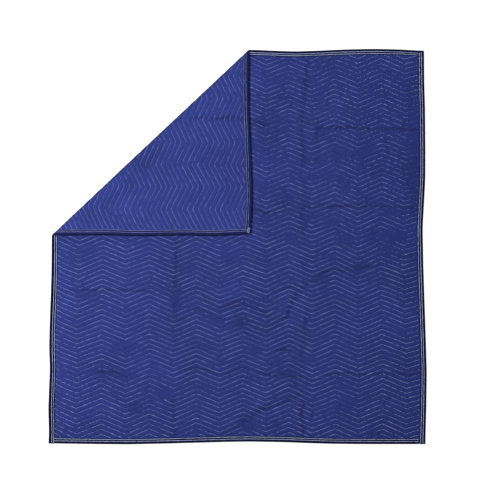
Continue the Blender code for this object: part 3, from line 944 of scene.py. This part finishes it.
TAPE_STEP = 0.007
TAPE_SHUT = 0.0022  # the hollow in the tape closes over this much of each end
SHUT_GAP = 0.0002
SEAM_DEPTH = 0.0006  # how far a seam draws the tape in
SEAM_REACH = 0.0016
SEAM_GROOVE = (0.0016, 0.0008, 0, -0.0008, -0.0016)  # where the section is set beside a seam
ROUNDING = 0.0026  # how far the tape falls away where it turns over the edge
ROUNDING_REACH = 0.0045
ROUNDING_POWER = 2.2
ROUNDING_INSETS = (0.0085, 0.0050, 0.0028, 0.0012, 0.0002)  # where the section is set there
RAW_EDGE = 0.0015  # the tape thins out over this much of its inner edge
RAW_EDGE_DROP = 0.0004
RAW_EDGE_STEP = 0.0005
BUTT = TAPE_WIDTH + CLEARANCE
SEAM_STITCH_PITCH = 0.0050
FACE_SEAM_STITCH = Share(0.95, 0.06, 0.4, 1.0)  # of the pitch
BACK_SEAM_STITCH = Share(0.66, 0.06, 0.4, 1.0)
SEAM_THREAD = Share(1.0, 0.12, 0.7, 1.3)  # of the edge's own width of thread
SEAM_SIDE_SPREAD = 0.00015
STEP_AHEAD = 0.001  # gives the seam's heading
SEAM_WANDER = 0.0004
SEAM_WANDER_LENGTH = 0.9
SEAM_WANDER_PHASE = 900  # radians for each metre of its inset

# Small waves of a tape. slant is in radians for each metre across it, and phases is how many times
# the tape's own phase shifts the wave, so that no two tapes are alike.
Ruffle = namedtuple("Ruffle", "height length slant phases")
RUFFLES = (Ruffle(0.00022, 0.045, 900, 1), Ruffle(0.00018, 0.071, -40, 2))
RUFFLE_START = 0.004  # the outer edge itself is smooth
PHASE = 6000  # radians for each metre of the outer seam's inset

# The tape runs along its side from start to end, and its two seams, which lie so far in from the
# outer edge, from sewn_from to sewn_to. width is the tape's on the face. thread and under_thread
# are the widths of the stitches on the face and on the reverse side.
Edge = namedtuple("Edge", "side start end sewn_from sewn_to seams width thread under_thread")
EDGES = (
    Edge("left", 0.0, LENGTH, 0.004, LENGTH - 0.004, (0.0150, 0.0248), 0.0300, 0.0019, 0.0013),
    Edge("right", 0.0, LENGTH, 0.004, LENGTH - 0.012, (0.0128, 0.0228), 0.0290, 0.0024, 0.0013),
    Edge("top", BUTT, WIDTH - BUTT, BUTT, WIDTH - BUTT, (0.0146, 0.0243), 0.0300, 0.0025, 0.0011),
    Edge("bottom", BUTT, WIDTH - BUTT, BUTT, WIDTH - BUTT, (0.0130, 0.0234), 0.0295, 0.0024, 0.0013),
)


def edge_place(edge, along, inset):
    """Flat place that lies so far along an edge and so far in from it."""
    places = {
        "left": (inset, along),
        "right": (WIDTH - inset, along),
        "top": (along, LENGTH - inset),
        "bottom": (along, inset),
    }
    return places[edge.side]


def stations(edge):
    """Places along a tape where its section is set, closer together at its ends."""
    start, end = edge.start, edge.end
    inner = np.linspace(start, end, int((end - start) / TAPE_STEP))[1:-1]
    return np.concatenate([[start, start + TAPE_SHUT], inner, [end - TAPE_SHUT, end]])


def tape_height(inset, along, seams, width):
    """Height of the tape's upper side: proud between its seams and round at the edge."""
    drawn_in = sum(SEAM_DEPTH * bell(inset - seam, SEAM_REACH) for seam in seams)
    ruffled = 0.0
    for wave in RUFFLES:
        turn = along * 2 * math.pi / wave.length + wave.slant * inset
        ruffled = ruffled + wave.height * np.sin(turn + wave.phases * PHASE * seams[0])
    ruffled = ruffled * eased(inset, start=0.0, over=RUFFLE_START)
    round_off = ROUNDING * np.clip(1 - inset / ROUNDING_REACH, 0.0, 1.0) ** ROUNDING_POWER
    thinned = RAW_EDGE_DROP * np.clip((inset - width + RAW_EDGE) / RAW_EDGE, 0.0, 1.0)
    return THICKNESS - drawn_in + ruffled - round_off - thinned


def across_tape(width, seams):
    """Insets of the tape's long edges, from its inner edge to the blanket's edge."""
    outer, inner = seams
    middle = (outer + inner) / 2
    at_inner, at_outer = ([seam + x for x in SEAM_GROOVE] for seam in (inner, outer))
    raw_edge = (width, width - RAW_EDGE_STEP)
    return np.array([*raw_edge, *at_inner, middle, *at_outer, *ROUNDING_INSETS])


def tape_mesh(edge):
    """One edge's tape as a closed U section."""
    along = stations(edge)[:, None]
    upper_inset = across_tape(edge.width, edge.seams)
    lower_inset = across_tape(BACK_WIDTH, edge.seams)[::-1]
    hollow = TAPE_THICKNESS + CLEARANCE
    ring_inset = np.concatenate([upper_inset, lower_inset, [BACK_WIDTH, hollow, hollow, edge.width]])
    upper = tape_height(upper_inset[None, :], along, edge.seams, edge.width)
    lower = THICKNESS - tape_height(lower_inset[None, :], along, edge.seams, BACK_WIDTH)
    under, over = TAPE_THICKNESS, THICKNESS - TAPE_THICKNESS
    inner = np.broadcast_to([under, under, over, over], (len(along), 4)).copy()
    shut = THICKNESS / 2 + np.array([-1, -1, 1, 1]) * SHUT_GAP / 2
    inner[[0, -1]] = shut
    w = np.hstack([upper, lower, inner])
    along, inset = np.broadcast_arrays(along, ring_inset[None, :])
    u, v = edge_place(edge, along, inset)
    points = np.stack([u, v, w], axis=-1).reshape(-1, 3)
    around = len(ring_inset)
    first = np.arange(len(along) - 1)[:, None] * around + np.arange(around)[None, :]
    second = np.roll(first, -1, axis=1)
    quads = np.stack([first, second, second + around, first + around], axis=-1).reshape(-1, 4)
    caps = [list(range(around))[::-1], list(range(len(points) - around, len(points)))]
    mesh = new_mesh(points.tolist(), quads.tolist() + caps)
    bm = bmesh.new()
    bm.from_mesh(mesh)
    bmesh.ops.triangulate(bm, faces=[f for f in bm.faces if len(f.verts) > 4])
    bmesh.ops.recalc_face_normals(bm, faces=bm.faces[:])
    if bm.calc_volume(signed=True) < 0:
        bmesh.ops.reverse_faces(bm, faces=bm.faces[:])
    bm.to_mesh(mesh)
    bm.free()
    cut_at_fold(mesh)
    return mesh


def seam_stitches(edge, inset, outward, random):
    """One seam on one side of a tape. The face has the thick thread."""
    on_face = outward > 0
    stitch = FACE_SEAM_STITCH if on_face else BACK_SEAM_STITCH
    thread = edge.thread if on_face else edge.under_thread
    width = edge.width if on_face else BACK_WIDTH
    along = np.arange(edge.sewn_from, edge.sewn_to, SEAM_STITCH_PITCH)
    turn = along * 2 * math.pi / SEAM_WANDER_LENGTH + SEAM_WANDER_PHASE * inset
    across = inset + SEAM_WANDER * np.sin(turn)
    across = across + random.normal(0, SEAM_SIDE_SPREAD, along.shape)
    u, v = edge_place(edge, along, across)
    ahead_u, ahead_v = edge_place(edge, along + STEP_AHEAD, across)
    heading = np.stack([ahead_u - u, ahead_v - v], axis=1)
    heading = heading / np.linalg.norm(heading, axis=1)[:, None]
    length = SEAM_STITCH_PITCH * drawn(random, stitch, u.shape)
    breadth = thread * drawn(random, SEAM_THREAD, u.shape)
    places = stations(edge)
    after = np.clip(np.searchsorted(places, along), 1, len(places) - 1)
    passed = (along - places[after - 1]) / (places[after] - places[after - 1])
    before_top, after_top = (
        tape_height(across, places[x], edge.seams, width) for x in (after - 1, after)
    )
    top = before_top * (1 - passed) + after_top * passed
    level = top if on_face else THICKNESS - top
    centre = np.stack([u, v], axis=1)
    return stitch_mesh(centre, heading, length, breadth, level, outward)


def tape_stitches(edge):
    """Both seams of one tape, on both sides of the blanket."""
    random = np.random.default_rng(int(1e5 * edge.seams[0]))
    joined = bmesh.new()
    for outward in (1, -1):
        for inset in edge.seams:
            part = seam_stitches(edge, inset, outward, random)
            joined.from_mesh(part)
            bpy.data.meshes.remove(part)
    mesh = bpy.data.meshes.new("piece")
    joined.to_mesh(mesh)
    joined.free()
    return mesh


TUFT_SEED = 8
TUFT_THREADS = 12


def thread_tuft():
    """Loose thread ends where the seams meet at the folded corner's tip, on the reverse side."""
    random = np.random.default_rng(TUFT_SEED)
    u = random.normal(0.0205, 0.0070, TUFT_THREADS)
    v = LENGTH - np.abs(random.normal(0.0100, 0.0035, TUFT_THREADS))
    turn = random.normal(0.3, 0.8, TUFT_THREADS)
    heading = np.stack([np.cos(turn), np.sin(turn)], axis=1)
    length = random.uniform(0.004, 0.009, TUFT_THREADS)
    width = random.uniform(0.0007, 0.0014, TUFT_THREADS)
    level = -0.0004 - random.uniform(0, 0.0016, TUFT_THREADS)
    return stitch_mesh(np.stack([u, v], axis=1), heading, length, width, level, -1)


# Pieces

FLOOR_REACH = 20
FLOOR_DROP = 0.0004  # clear of the underside
FLOOR_GREY = 0.18
FLOOR_GLOW = 0.93  # the picture's ground is white, with hardly a shadow


def dress(piece, slot, *nodes):
    """Puts a piece on the one body and hides the nodes it stands for. slot is not used."""
    if nodes:
        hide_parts(*nodes)
    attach(piece, "root")


floor_mesh = bpy.data.meshes.new("floor")
grid = bmesh.new()
bmesh.ops.create_grid(grid, x_segments=4, y_segments=4, size=FLOOR_REACH)
grid.to_mesh(floor_mesh)
grid.free()
floor_white = bpy.data.materials.new("floor_white")
floor_white.use_nodes = True
floor_shader = floor_white.node_tree.nodes["Principled BSDF"]
floor_shader.inputs["Roughness"].default_value = 0.9
floor_shader.inputs["Base Color"].default_value = (FLOOR_GREY, FLOOR_GREY, FLOOR_GREY, 1)
floor_shader.inputs["Emission Color"].default_value = (1, 1, 1, 1)
floor_shader.inputs["Emission Strength"].default_value = FLOOR_GLOW
floor_mesh.materials.append(floor_white)
floor = add_object("floor", floor_mesh)
floor.location.z = -FLOOR_DROP

back = add_piece("back_cloth", quilt_mesh(-1), BACK_BLUE)
face = add_piece("face_cloth", quilt_mesh(1), FACE_BLUE)
face_rows = add_piece("face_stitching", row_stitches(FACE_ROWS), ROW_THREAD)
back_rows = add_piece("back_stitching", row_stitches(BACK_ROWS), ROW_THREAD)
dress(back, "back_cloth", "back_panel")
dress(face, "face_cloth", "face_panel")
dress(back_rows, "back_cloth")
dress(face_rows, "face_cloth")

for edge in EDGES:
    tape = add_piece(f"binding_tape_{edge.side}", tape_mesh(edge), TAPE_NAVY)
    seams = add_piece(f"binding_stitching_{edge.side}", tape_stitches(edge), TAPE_THREAD)
    dress(tape, "edge_tape", f"binding_{edge.side}")
    dress(seams, "edge_tape")
tuft = add_piece("thread_tuft", thread_tuft(), TAPE_THREAD)
dress(tuft, "edge_tape")

# Light and camera

WORLD_STRENGTH = 0.65
PICTURE_U, PICTURE_V = 0.9758, 0.9955  # flat place in the middle of the picture
FRAME_WIDTH = 2.4415
ELEVATION = math.radians(70.7)
LENS = 1600.0  # mm, a long lens from far away, so that the view is nearly parallel
SENSOR = 36.0  # mm


def aim(placed, direction):
    """Turns a light or a camera to look along the direction."""
    placed.rotation_mode = "QUATERNION"
    placed.rotation_quaternion = direction.to_track_quat("-Z", "Y")


world = bpy.data.worlds.new("studio")
world.use_nodes = True
background = world.node_tree.nodes["Background"]
background.inputs["Color"].default_value = (1, 1, 1, 1)
background.inputs["Strength"].default_value = WORLD_STRENGTH
bpy.context.scene.world = world

key_data = bpy.data.lights.new("key", "AREA")
key_data.shape = "DISK"
key_data.size = 2.4
key_data.energy = 640
key = add_object("key", key_data)
key.location = (-4.6, 1.5, 3.2)
aim(key, -key.location)

camera_data = bpy.data.cameras.new("camera")
camera_data.lens = LENS
camera_data.sensor_width = SENSOR
camera_data.clip_start = 1.0
camera_data.clip_end = 300.0
camera = add_object("camera", camera_data)
towards_camera = Vector((0, -math.cos(ELEVATION), math.sin(ELEVATION)))
aimed_at = Vector((PICTURE_U - MIDDLE_U, PICTURE_V - MIDDLE_V, 0.0))
camera.location = aimed_at + towards_camera * (FRAME_WIDTH * LENS / SENSOR)
aim(camera, -towards_camera)
bpy.context.scene.camera = camera
bpy.context.scene.view_settings.view_transform = "Standard"
